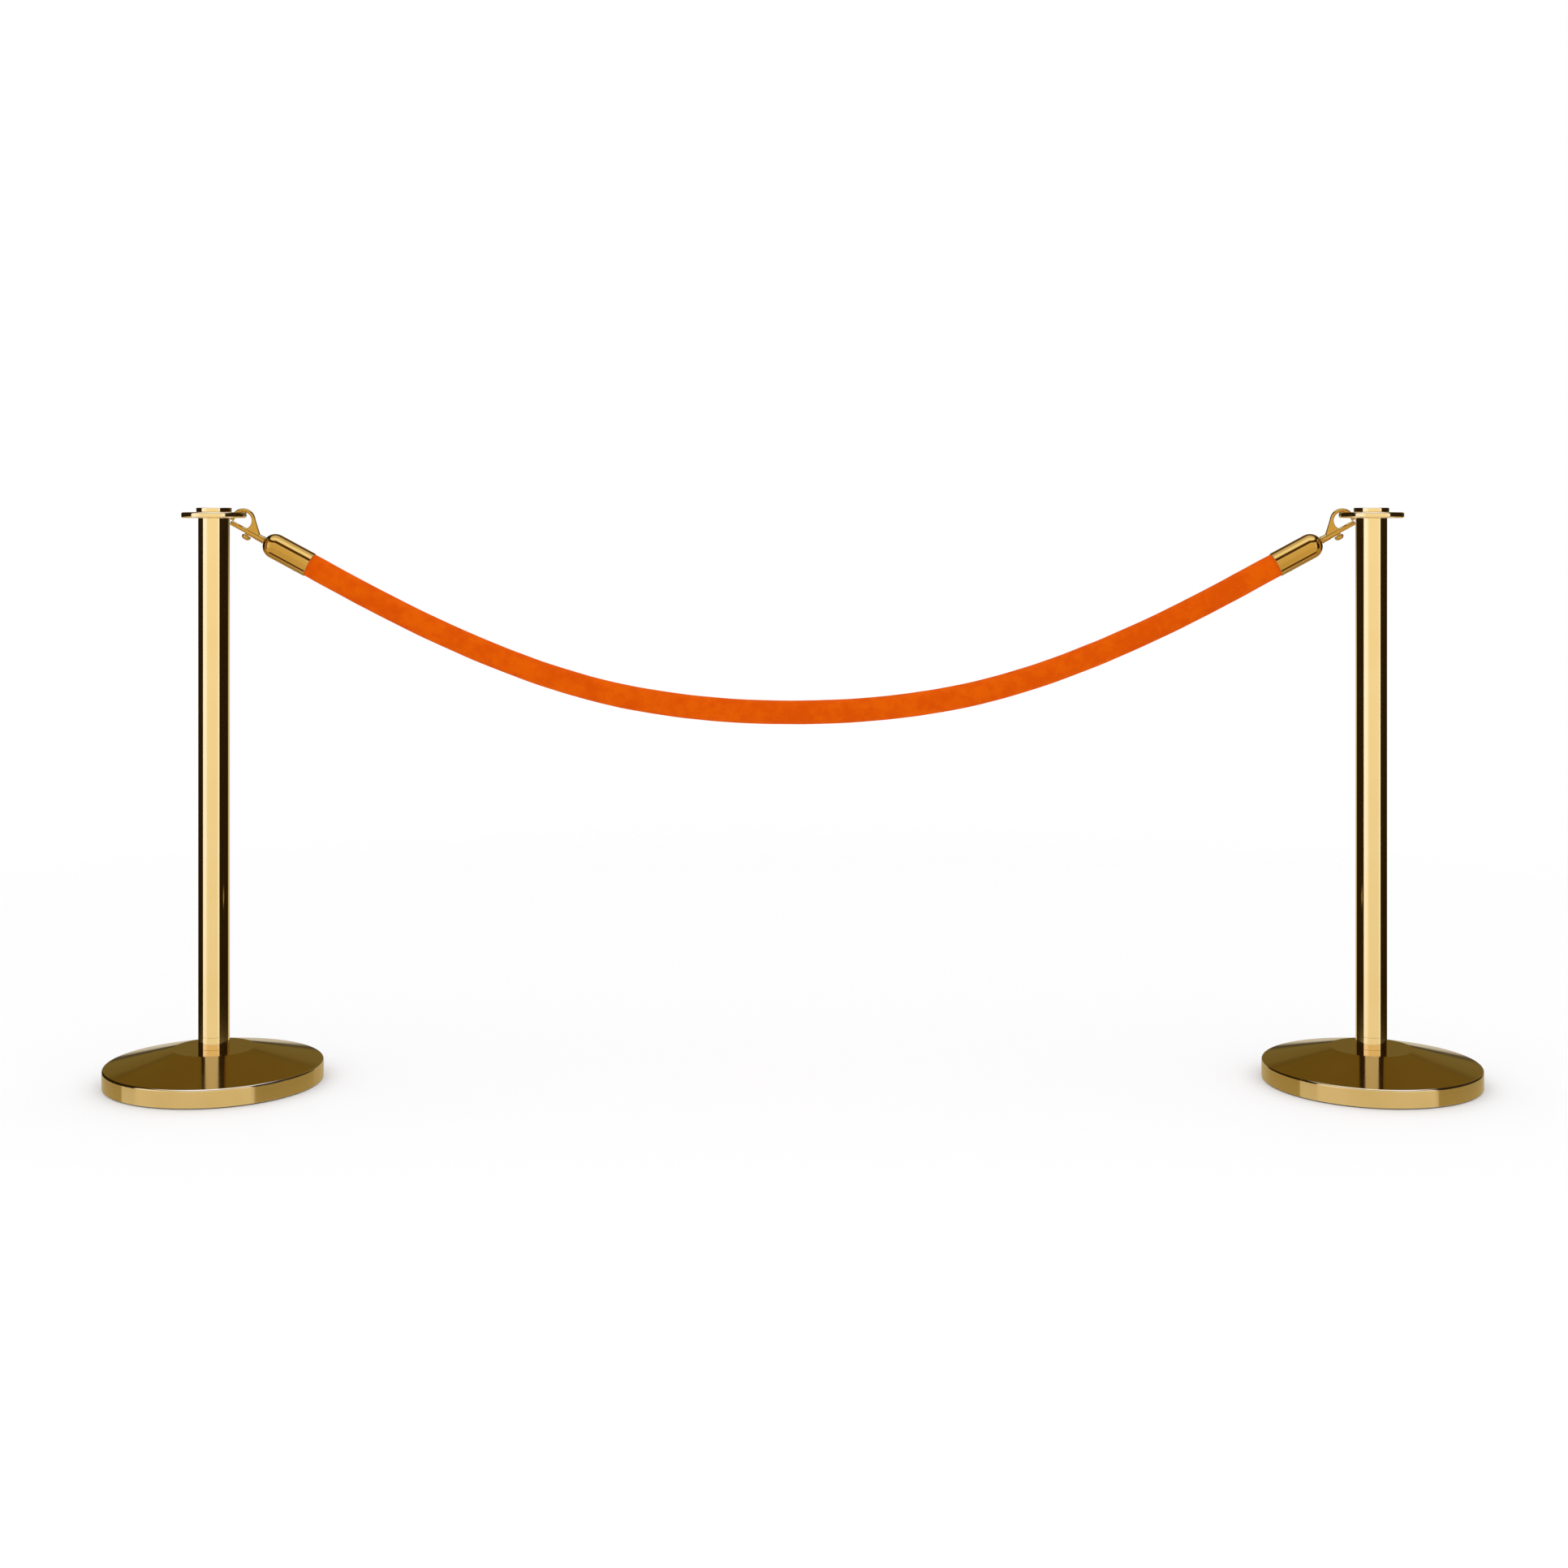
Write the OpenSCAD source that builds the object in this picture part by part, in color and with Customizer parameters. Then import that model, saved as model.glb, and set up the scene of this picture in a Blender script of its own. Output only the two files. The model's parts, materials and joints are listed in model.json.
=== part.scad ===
// Barrier for a museum or foyer: two weighted brass posts and one velvet rope
// that hangs between them on bolt-snap hooks. Millimetres, +Z up. The origin is on
// the floor, midway between the posts; the rope runs along X.

/* [Posts] */
// Height of a post from the floor to its flat top
post_height = 950; // [900:5:1000]
// Outer diameter of the post tube
tube_d = 50.8; // [48:0.2:52]
// Wall of the post tube
tube_wall = 1.5; // [1.2:0.1:3]
// Diameter of the flat top cap
top_cap_d = 57; // [54:0.5:58]
// Thickness of the top cap
top_cap_h = 7.5; // [6:0.5:7.5]

/* [Base] */
// Diameter of the base over its rim
base_d = 356; // [300:2:400]
// Height of the rim to the centre of its rounded edge
rim_h = 28; // [22:1:34]
// Radius of the rim's rounded edge
rim_edge_r = 3; // [2:0.5:5]
// Slope of the cone from the rim to the seat, in degrees
cone_slope = 13.2; // [8:0.2:15]
// Diameter of the flat seat that the tube stands on
seat_d = 134; // [110:2:150]
// Sheet thickness of the spun cover
cover_wall = 1.5; // [1:0.1:2]

/* [Rope ring] */
// Outer diameter of the ring's rim
ring_d = 105; // [104:0.5:106]
// Radial thickness of the rim
ring_rim_w = 6; // [5:0.5:6]
// Height of the rim
ring_h = 9.5; // [8:0.5:9.5]

/* [Rope] */
// Diameter of the velvet rope
rope_d = 40; // [36:1:40]
// Wall of the velvet sleeve
sleeve_wall = 2.5; // [1.5:0.5:4]
// Length of the end cap's straight part
cap_len = 65; // [60:1:66]
// Wall of the end cap
cap_wall = 1.25; // [1:0.05:1.5]

/* [Hook] */
// Diameter of the sliding bolt
bolt_d = 8; // [7:0.5:8]
// How far the bolt draws back
bolt_travel = 12; // [8:1:12]
// Diameter of the thumb knob
knob_d = 15.2; // [12:0.4:16]
// Diameter of the round bar that the hook's eye is bent from
hook_bar_d = 6.4; // [5:0.2:6.6]

/* [Hidden] */
$fn = 96;
SIDES = ["left", "right"];
POST_PARTS = ["base_cover", "base_weight", "floor_pad", "tie_bolt", "tie_washer", "foot_plug",
    "post_tube", "head_plug", "cap_stud", "rope_ring", "top_cap"];
END_PARTS = ["end_cap", "cap_pins", "rope_end", "swivel_bush", "swivel_washer", "swivel_nut",
    "hook_body", "hook_bolt", "thumb_knob", "bolt_spring"];

brass = [0.86, 0.68, 0.38];
gold = [0.83, 0.62, 0.25];
iron = [0.25, 0.25, 0.26];
rubber = [0.08, 0.08, 0.08];
steel = [0.7, 0.7, 0.72];
velvet = [0.87, 0.34, 0.01];
cotton = [0.9, 0.87, 0.78];

// The hanging rope's centre line, mouth to mouth, at the standard height of 950
ROPE_ROUTE = [
    [-800, 855], [-700, 801], [-600, 751], [-500, 707], [-400, 670], [-300, 642], [-200, 624],
    [-100, 614], [0, 611], [100, 614], [200, 624], [300, 642], [400, 670], [500, 707],
    [600, 751], [700, 801], [800, 855]];
lift = post_height - 950;
rope_end_x = 800;
rope_end_z = 855 + lift;
rope_end_angle = atan((855 - 801) / 100);
// From the rope's end to the post's axis
post_reach = 159;
post_x = rope_end_x + post_reach;
rope_sides = 12;

// A running fit's radial gap, the gap between touching pieces of one body, and the
// gap between pieces that move past each other
running_gap = 0.06;
seat_gap = 0.03;
free_gap = 0.3;

// Post heights
tube_r = tube_d / 2;
tube_inner_r = tube_r - tube_wall;
base_r = base_d / 2;
seat_r = seat_d / 2;
edge_x = base_r - rim_edge_r;
seat_z = rim_h + rim_edge_r * cos(cone_slope)
    + (edge_x + rim_edge_r * sin(cone_slope) - seat_r) * tan(cone_slope);
cover_lift = 1.5;
pad_h = 3;
plate_h = 10;
plug_flange_h = 9.6;
tube_z = seat_z + plug_flange_h;
top_cap_z = post_height - top_cap_h;
ring_z = top_cap_z - ring_h;
ring_hub_r = tube_r + 1.1;
ring_bore_r = 12;
ring_inner_r = ring_d / 2 - ring_rim_w;

// Tie bolt M12 and cap stud M10
tie_r = 6;
tie_head_z = 7;
tie_head_h = 7.5;
tie_washer_h = 2.5;
tie_recess_r = 18;
tie_recess_z = tie_head_z + tie_head_h + tie_washer_h;
stud_r = 5;

// End cap, along the rope's end axis u from the end of the rope towards the post
cap_r = rope_d / 2 + 0.75;
cap_inner_r = cap_r - cap_wall;
cap_mouth_u = free_gap;
dome_u = cap_len;
dome_pole_u = dome_u + cap_r;
pin_u = 18.5;
pin_r = 1.5;
pin_angles = [-29, 91, 211];
rope_end_u = 5;
shank_r = 3;
bush_r = 5;
bush_flange_r = 7.5;
bush_flange_h = 1.2;
bush_seat_u = dome_u + sqrt(cap_inner_r * cap_inner_r - bush_flange_r * bush_flange_r) - 0.1;
washer_h = 1.2;
washer_u = bush_seat_u - bush_flange_h - free_gap - washer_h;
nut_h = 5;

// Hook, in the same frame: u along the barrel and v across it, towards the eye
barrel_u = dome_pole_u + 0.65;
barrel_front_u = barrel_u + 33.1;
barrel_r = 5.7;
barrel_floor_u = barrel_u + 4.6;
bolt_r = bolt_d / 2;
knob_u = barrel_front_u - 4.5;
knob_stem_r = 2.2;
bolt_rear_u = knob_u - 4;
bolt_tip_u = barrel_front_u + 29.5;
slot_r = knob_stem_r + free_gap;
eye_u = barrel_front_u + 12.8;
eye_v = 12.4;
eye_r = 14;
hook_bar_r = hook_bar_d / 2;
hook_bar_path_r = eye_r + hook_bar_r;
web_w = 10;

// ---------- placing ----------

module at_post(side) {
    translate([side == "left" ? -post_x : post_x, 0, 0]) children();
}

// The right end's frame: X becomes u, Z becomes v. The left end is its mirror image.
module at_rope_end(side) {
    mirror([side == "left" ? 1 : 0, 0, 0])
        translate([rope_end_x, 0, rope_end_z]) rotate([0, -rope_end_angle, 0]) children();
}

// Turns a shape that stands on Z so that it lies along u
module along_u() {
    rotate([0, 90, 0]) children();
}

// Turns a flat outline in u and v upright
module upright() {
    rotate([90, 0, 0]) children();
}

module tube_solid(outer_r, inner_r, h) {
    difference() {
        cylinder(r = outer_r, h = h);
        translate([0, 0, -1]) cylinder(r = inner_r, h = h + 2);
    }
}

// A rectangle with rounded corners, centred
module rounded_section(w, h, r) {
    square([w, h - 2 * r], center = true);
    square([w - 2 * r, h], center = true);
    for (x = [-1, 1]) for (y = [-1, 1])
        translate([x * (w / 2 - r), y * (h / 2 - r)]) circle(r = r, $fn = 32);
}

// ---------- base ----------

// The cover's outline, moved inwards by inset: rim, rounded edge, cone and seat
module cover_outline(inset) {
    r = rim_edge_r - inset;
    cone_x = edge_x + r * sin(cone_slope);
    cone_z = rim_h + r * cos(cone_slope);
    top_z = seat_z - inset;
    top_x = cone_x - (top_z - cone_z) / tan(cone_slope);
    polygon([[0, -1], [base_r - inset, -1], [base_r - inset, rim_h], [edge_x, rim_h],
        [cone_x, cone_z], [top_x, top_z], [0, top_z]]);
    translate([edge_x, rim_h]) circle(r = r, $fn = 48);
}

module base_cover() {
    color(brass) difference() {
        rotate_extrude() difference() {
            intersection() {
                cover_outline(0);
                translate([0, cover_lift]) square([base_r + 1, post_height]);
            }
            cover_outline(cover_wall);
        }
        cylinder(r = tie_r + 7, h = seat_z + 1);
    }
}

module base_weight() {
    hub_z = seat_z - cover_wall;
    color(iron) difference() {
        union() {
            translate([0, 0, pad_h]) cylinder(r = base_r - cover_wall - free_gap, h = plate_h);
            translate([0, 0, pad_h + plate_h]) cylinder(r1 = 58, r2 = 34, h = hub_z - pad_h - plate_h);
        }
        cylinder(r = tie_recess_r, h = tie_recess_z);
        cylinder(r = tie_r + 1, h = seat_z);
    }
}

module floor_pad() {
    color(rubber) tube_solid(base_r - 4, base_r * 0.45, pad_h);
}

module tie_bolt() {
    color(steel) translate([0, 0, tie_head_z]) {
        cylinder(r = 10.4, h = tie_head_h, $fn = 6);
        cylinder(r = tie_r, h = seat_z + 24 - tie_head_z);
    }
}

module tie_washer() {
    color(steel) translate([0, 0, tie_head_z + tie_head_h]) tube_solid(12, tie_r + 0.5, tie_washer_h);
}

// ---------- post ----------

module foot_plug() {
    edge = 0.5;
    color(brass) translate([0, 0, seat_z]) difference() {
        union() {
            cylinder(r = tube_r, h = plug_flange_h - edge);
            translate([0, 0, plug_flange_h - edge]) cylinder(r1 = tube_r, r2 = tube_r - edge, h = edge);
            cylinder(r = tube_inner_r - seat_gap, h = plug_flange_h + 20);
        }
        translate([0, 0, -1]) cylinder(r = tie_r + seat_gap, h = plug_flange_h + 30);
    }
}

module post_tube() {
    color(brass) translate([0, 0, tube_z]) tube_solid(tube_r, tube_inner_r, ring_z - tube_z);
}

module head_plug() {
    plug_h = 30;
    color(steel) translate([0, 0, ring_z - plug_h])
        tube_solid(tube_inner_r - seat_gap, stud_r + seat_gap, plug_h);
}

module cap_stud() {
    color(steel) translate([0, 0, ring_z - 22]) cylinder(r = stud_r, h = ring_h + 26);
}

module ring_spoke() {
    mid_r = (ring_hub_r + ring_inner_r) / 2;
    fillet_r = (ring_inner_r - ring_hub_r) / 2 + 0.5;
    spoke_w = 8;
    translate([0, 0, 1]) linear_extrude(ring_h - 2) difference() {
        translate([mid_r, 0]) square([2 * fillet_r + 3, spoke_w + 2 * fillet_r - 4], center = true);
        for (y = [-1, 1])
            translate([mid_r, y * (spoke_w / 2 + fillet_r)]) circle(r = fillet_r);
    }
}

module rope_ring() {
    color(brass) translate([0, 0, ring_z]) {
        rotate_extrude() translate([ring_d / 2 - ring_rim_w / 2, ring_h / 2])
            rounded_section(ring_rim_w, ring_h, 2.8);
        tube_solid(ring_hub_r, ring_bore_r, ring_h);
        for (i = [0:3]) rotate([0, 0, 45 + 90 * i]) ring_spoke();
    }
}

module top_cap() {
    edge = 1;
    cap_r = top_cap_d / 2;
    spigot_h = 6;
    color(brass) translate([0, 0, top_cap_z]) difference() {
        union() {
            rotate_extrude() {
                square([cap_r - edge, top_cap_h]);
                translate([0, edge]) square([cap_r, top_cap_h - 2 * edge]);
                for (z = [edge, top_cap_h - edge]) translate([cap_r - edge, z]) circle(r = edge, $fn = 32);
            }
            translate([0, 0, -spigot_h]) cylinder(r = ring_bore_r - seat_gap, h = spigot_h + 1);
        }
        translate([0, 0, -spigot_h - 1]) cylinder(r = stud_r + seat_gap, h = spigot_h + 1 + 4.5);
    }
}

// ---------- rope ----------

function route_point(i) = [ROPE_ROUTE[i][0], 0, ROPE_ROUTE[i][1] + lift];
function route_along(i) = let (last = len(ROPE_ROUTE) - 1)
    route_point(min(i + 1, last)) - route_point(max(i - 1, 0));
function route_ring(i, r) = let (along = route_along(i) / norm(route_along(i)))
    [for (k = [0:rope_sides - 1]) let (a = 360 * k / rope_sides)
        route_point(i) + r * (cos(a) * [0, 1, 0] + sin(a) * [-along[2], 0, along[0]])];
function tube_points(r) = [for (i = [0:len(ROPE_ROUTE) - 1]) each route_ring(i, r)];

// Triangles of a tube's side, from ring to ring; out is false for the wall of a hollow
function side_faces(first, rings, n, out) = [for (i = [0:rings - 2]) for (k = [0:n - 1])
    let (a = first + i * n + k, b = first + i * n + (k + 1) % n)
    each (out ? [[a, b + n, b], [a, a + n, b + n]] : [[a, b, b + n], [a, b + n, a + n]])];

// Faces of a solid tube of rings with n points each
function tube_faces(rings, n) = concat(side_faces(0, rings, n, true),
    [[for (k = [0:n - 1]) k]], [[for (k = [n - 1:-1:0]) (rings - 1) * n + k]]);

module rope_core() {
    color(cotton) polyhedron(
        points = tube_points(rope_d / 2 - sleeve_wall - 0.1),
        faces = tube_faces(len(ROPE_ROUTE), rope_sides));
}

module rope_sleeve() {
    rings = len(ROPE_ROUTE);
    n = rope_sides;
    inner = rings * n;
    last = (rings - 1) * n;
    color(velvet) polyhedron(
        points = concat(tube_points(rope_d / 2), tube_points(rope_d / 2 - sleeve_wall)),
        faces = concat(side_faces(0, rings, n, true), side_faces(inner, rings, n, false),
            [for (k = [0:n - 1]) let (m = (k + 1) % n) each
                [[k, m, inner + m], [k, inner + m, inner + k]]],
            [for (k = [0:n - 1]) let (m = (k + 1) % n) each
                [[last + k, inner + last + m, last + m], [last + k, inner + last + k, inner + last + m]]]));
}

// ---------- rope ends ----------

// Drilled or filled round pins that point at the axis, from radius r0 to r1
module radial_pins(r0, r1, r) {
    for (a = pin_angles) translate([pin_u, 0, 0]) rotate([a, 0, 0]) rotate([90, 0, 0])
        translate([0, 0, r0]) cylinder(r = r, h = r1 - r0, $fn = 32);
}

module end_cap() {
    lip_r = cap_wall / 2;
    color(gold) difference() {
        along_u() rotate_extrude() difference() {
            union() {
                translate([0, cap_mouth_u + lip_r]) square([cap_r, dome_u - cap_mouth_u - lip_r]);
                translate([cap_r - lip_r, cap_mouth_u + lip_r]) circle(r = lip_r, $fn = 32);
                intersection() {
                    translate([0, dome_u]) circle(r = cap_r);
                    translate([0, dome_u]) square([cap_r, cap_r]);
                }
            }
            translate([0, -1]) square([cap_inner_r, dome_u + 1]);
            translate([0, dome_u]) circle(r = cap_inner_r);
        }
        along_u() cylinder(r = bush_r, h = dome_pole_u + 1);
        radial_pins(cap_r - 4, cap_r + 2, pin_r);
    }
}

module cap_pins() {
    color(gold) radial_pins(9, cap_r + 0.35, pin_r - seat_gap);
}

module rope_end() {
    color(cotton) difference() {
        translate([rope_end_u, 0, 0]) along_u()
            cylinder(r = cap_inner_r - 0.15, h = dome_u - 1 - rope_end_u);
        radial_pins(8.9, cap_r + 2, pin_r);
    }
}

module swivel_bush() {
    color(brass) difference() {
        union() {
            translate([bush_seat_u - bush_flange_h, 0, 0]) along_u()
                cylinder(r = bush_flange_r, h = bush_flange_h);
            translate([bush_seat_u - bush_flange_h, 0, 0]) along_u()
                cylinder(r = bush_r - seat_gap, h = dome_pole_u - bush_seat_u + bush_flange_h);
        }
        translate([dome_u, 0, 0]) along_u() cylinder(r = shank_r + running_gap, h = cap_r + 5);
    }
}

module swivel_washer() {
    color(steel) translate([washer_u, 0, 0]) along_u()
        tube_solid(6.5, shank_r + seat_gap, washer_h);
}

module swivel_nut() {
    color(steel) translate([washer_u - nut_h, 0, 0]) along_u() difference() {
        cylinder(r = 5.8, h = nut_h, $fn = 6);
        translate([0, 0, -1]) cylinder(r = shank_r + seat_gap, h = nut_h + 2);
    }
}

// ---------- hook ----------

// Round bar of the eye, from the nose's root over the top and down into the web
module hook_eye() {
    upright() translate([eye_u, eye_v, 0]) rotate_extrude(angle = 218)
        translate([hook_bar_path_r, 0]) circle(r = hook_bar_r, $fn = 48);
}

module hook_nose() {
    tip_v = bolt_r + free_gap;
    translate([eye_u + hook_bar_path_r, 0, tip_v]) cylinder(r = hook_bar_r, h = eye_v - tip_v, $fn = 48);
}

// The web's outline: from the barrel's shoulder up to the eye and back along the barrel
module web_outline() {
    shoulder_u = barrel_u + 12;
    crown_r = eye_r + 2 * hook_bar_r - 0.8;
    difference() {
        polygon([[shoulder_u - 3, 0], [shoulder_u, 6.2],
            [eye_u - crown_r * sin(45), eye_v + crown_r * cos(45)],
            [eye_u, eye_v], [barrel_front_u, 4], [barrel_front_u, 0]]);
        translate([eye_u, eye_v]) circle(r = eye_r + 1);
    }
}

// The web is as thick as the barrel at its foot and thins to the eye's bar
module hook_web() {
    top_v = eye_v + eye_r + 2 * hook_bar_r;
    half_w = web_w / 2;
    intersection() {
        upright() translate([0, 0, -half_w]) linear_extrude(web_w) web_outline();
        translate([barrel_u, 0, 0]) rotate([90, 0, 90]) linear_extrude(eye_u - barrel_u)
            polygon([[-half_w, -1], [half_w, -1], [half_w, 2], [hook_bar_r, eye_v + 2],
                [hook_bar_r, top_v], [-hook_bar_r, top_v], [-hook_bar_r, eye_v + 2], [-half_w, 2]]);
    }
}

module hook_body() {
    color(gold) difference() {
        union() {
            translate([barrel_u, 0, 0]) along_u() cylinder(r = barrel_r, h = barrel_front_u - barrel_u);
            translate([barrel_u, 0, 0]) along_u() cylinder(r = barrel_r + 0.6, h = 2);
            translate([barrel_front_u - 1.8, 0, 0]) along_u() cylinder(r = barrel_r + 0.4, h = 1.8);
            translate([washer_u - nut_h - 1.2, 0, 0]) along_u()
                cylinder(r = shank_r, h = barrel_u - washer_u + nut_h + 2);
            hook_web();
            hook_eye();
            hook_nose();
        }
        translate([barrel_floor_u, 0, 0]) along_u() cylinder(r = bolt_r + running_gap, h = 40);
        translate([knob_u - bolt_travel, -slot_r, -barrel_r - 2]) cube([bolt_travel, 2 * slot_r, barrel_r + 2]);
        for (u = [knob_u - bolt_travel, knob_u])
            translate([u, 0, -barrel_r - 2]) cylinder(r = slot_r, h = barrel_r + 2, $fn = 48);
    }
}

module hook_bolt() {
    edge = 1.2;
    color(gold) difference() {
        union() {
            translate([bolt_rear_u, 0, 0]) along_u() cylinder(r = bolt_r, h = bolt_tip_u - bolt_rear_u - edge);
            translate([bolt_tip_u - edge, 0, 0]) along_u() cylinder(r1 = bolt_r, r2 = bolt_r - edge, h = edge);
        }
        translate([knob_u, 0, -bolt_r - 1]) cylinder(r = knob_stem_r, h = bolt_r + 0.5, $fn = 48);
    }
}

module thumb_knob() {
    head_v = -barrel_r - 1.4;
    head_edge = 1.4;
    round_r = 5;
    head_r = knob_d / 2;
    color(gold) translate([knob_u, 0, 0]) {
        translate([0, 0, head_v - 1]) cylinder(r = knob_stem_r - seat_gap, h = -head_v + 0.4, $fn = 48);
        translate([0, 0, head_v]) mirror([0, 0, 1]) rotate_extrude() {
            square([head_r, head_edge]);
            square([head_r - round_r, head_edge + round_r]);
            intersection() {
                translate([head_r - round_r, head_edge]) circle(r = round_r);
                translate([0, head_edge]) square([head_r, round_r]);
            }
        }
    }
}

spring_turns = 8;
spring_steps = 12;
spring_sides = 6;
spring_r = 3.2;
spring_wire_r = 0.35;

function spring_ring(i, from_u, to_u) = let (share = i / (spring_turns * spring_steps),
        a = 360 * spring_turns * share, out = [0, cos(a), sin(a)])
    [for (k = [0:spring_sides - 1]) let (b = 360 * k / spring_sides)
        [from_u + (to_u - from_u) * share, 0, 0] + spring_r * out
            + spring_wire_r * (cos(b) * out - sin(b) * [1, 0, 0])];

module bolt_spring() {
    from_u = barrel_floor_u + 0.45;
    to_u = bolt_rear_u - 0.45;
    rings = spring_turns * spring_steps + 1;
    color(steel) polyhedron(
        points = [for (i = [0:rings - 1]) each spring_ring(i, from_u, to_u)],
        faces = tube_faces(rings, spring_sides));
}

// ---------- drawing ----------

module post_part(part) {
    if (part == "base_cover") base_cover();
    if (part == "base_weight") base_weight();
    if (part == "floor_pad") floor_pad();
    if (part == "tie_bolt") tie_bolt();
    if (part == "tie_washer") tie_washer();
    if (part == "foot_plug") foot_plug();
    if (part == "post_tube") post_tube();
    if (part == "head_plug") head_plug();
    if (part == "cap_stud") cap_stud();
    if (part == "rope_ring") rope_ring();
    if (part == "top_cap") top_cap();
}

module end_part(part) {
    if (part == "end_cap") end_cap();
    if (part == "cap_pins") cap_pins();
    if (part == "rope_end") rope_end();
    if (part == "swivel_bush") swivel_bush();
    if (part == "swivel_washer") swivel_washer();
    if (part == "swivel_nut") swivel_nut();
    if (part == "hook_body") hook_body();
    if (part == "hook_bolt") hook_bolt();
    if (part == "thumb_knob") thumb_knob();
    if (part == "bolt_spring") bolt_spring();
}

for (side = SIDES) {
    for (part = POST_PARTS)
        at_post(side) post_part(part);
    for (part = END_PARTS)
        at_rope_end(side) end_part(part);
}
rope_core();
rope_sleeve();
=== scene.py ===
"""Looks of a museum barrier: two polished brass posts and a velvet rope on bolt-snap hooks.

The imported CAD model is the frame. Turned, wound and cast pieces are built again here as
finer meshes in the same places, and every surface gets a procedural material. Metres, +Z up.
"""

import json
import math

import bmesh
import bpy
import numpy as np
from mathutils import Matrix, Vector, noise

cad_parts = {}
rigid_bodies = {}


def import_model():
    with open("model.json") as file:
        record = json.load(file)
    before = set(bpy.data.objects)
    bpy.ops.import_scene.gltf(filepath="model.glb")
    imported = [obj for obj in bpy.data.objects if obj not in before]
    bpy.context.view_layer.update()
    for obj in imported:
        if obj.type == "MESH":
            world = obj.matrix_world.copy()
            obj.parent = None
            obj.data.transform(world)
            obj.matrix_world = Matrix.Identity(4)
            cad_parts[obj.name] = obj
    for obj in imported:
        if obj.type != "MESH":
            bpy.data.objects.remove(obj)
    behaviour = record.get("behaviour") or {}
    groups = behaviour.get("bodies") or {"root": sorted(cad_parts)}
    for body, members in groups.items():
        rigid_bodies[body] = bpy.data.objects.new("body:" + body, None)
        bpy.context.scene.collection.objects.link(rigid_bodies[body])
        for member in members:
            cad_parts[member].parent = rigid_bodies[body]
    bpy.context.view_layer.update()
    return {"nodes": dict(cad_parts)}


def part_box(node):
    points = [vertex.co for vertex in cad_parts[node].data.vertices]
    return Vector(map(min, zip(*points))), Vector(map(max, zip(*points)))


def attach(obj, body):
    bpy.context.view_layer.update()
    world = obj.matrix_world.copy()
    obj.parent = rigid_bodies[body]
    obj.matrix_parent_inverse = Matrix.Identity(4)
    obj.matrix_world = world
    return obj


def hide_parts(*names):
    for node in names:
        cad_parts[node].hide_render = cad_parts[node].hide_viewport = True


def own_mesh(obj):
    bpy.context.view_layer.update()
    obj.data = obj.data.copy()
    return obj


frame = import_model()
scene = bpy.context.scene
MM = 0.001
SIDES = {"left": -1, "right": 1}
ROOT = "barrier"

# The rope's centre line (x, z) from the mouth of the left cap to the mouth of the right one
ROUTE = [
    (-0.8, 0.855), (-0.7, 0.801), (-0.6, 0.751), (-0.5, 0.707), (-0.4, 0.670), (-0.3, 0.642),
    (-0.2, 0.624), (-0.1, 0.614), (0, 0.611), (0.1, 0.614), (0.2, 0.624), (0.3, 0.642),
    (0.4, 0.670), (0.5, 0.707), (0.6, 0.751), (0.7, 0.801), (0.8, 0.855)]
ROPE_D = 40 * MM
ROPE_TUCK = 4.4 * MM  # how far the sleeve goes into each cap
END_SLOPE = 0.54  # the caps' rise for each metre along X
SPAN_STEPS = 34  # swept points for each span of the route


# ---------- camera ----------

def make_camera():
    """The photo's view: level, from in front, with the frame shifted down to the bases."""
    data = bpy.data.cameras.new("camera")
    data.lens = 50
    data.sensor_width = 36
    data.shift_y = -0.1646
    data.clip_end = 100
    camera = bpy.data.objects.new("camera", data)
    camera.location = (-0.0144, -3.609, 0.92)
    camera.rotation_euler = (math.radians(90), 0, 0)
    scene.collection.objects.link(camera)
    scene.camera = camera


make_camera()


# ---------- places ----------

def post_place(side):
    """The frame of one post: its axis is Z and the floor is Z = 0."""
    low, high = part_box(side + "_post_tube")
    return Matrix.Translation(((low.x + high.x) / 2, 0, 0))


def end_place(side):
    """The frame of one rope end: Z runs along the cap towards the post, X across it and up."""
    sign = SIDES[side]
    length = math.hypot(1, END_SLOPE)
    along = Vector((sign, 0, END_SLOPE)) / length
    up = Vector((-sign * END_SLOPE, 0, 1)) / length
    x, z = ROUTE[-1]
    turned = Matrix((up, along.cross(up), along)).transposed().to_4x4()
    return Matrix.Translation((sign * x, 0, z)) @ turned


def local_box(node, place):
    """Lowest and highest corner of a CAD node in the frame that place takes to the row frame."""
    back = np.array(place.inverted())
    points = np.array([v.co for v in frame["nodes"][node].data.vertices])
    local = points @ back[:3, :3].T + back[:3, 3]
    return local.min(0), local.max(0)


# ---------- meshes ----------

def finish_mesh(name, mesh, place, sharp=35):
    """Turns a mesh in a local frame into a piece in the row frame, with outward normals."""
    bm = bmesh.new()
    bm.from_mesh(mesh)
    bm.transform(place)
    bmesh.ops.recalc_face_normals(bm, faces=bm.faces)
    bm.to_mesh(mesh)
    bm.free()
    mesh.polygons.foreach_set("use_smooth", [True] * len(mesh.polygons))
    mesh.set_sharp_from_angle(angle=math.radians(sharp))
    piece = bpy.data.objects.new(name, mesh)
    scene.collection.objects.link(piece)
    return piece


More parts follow.
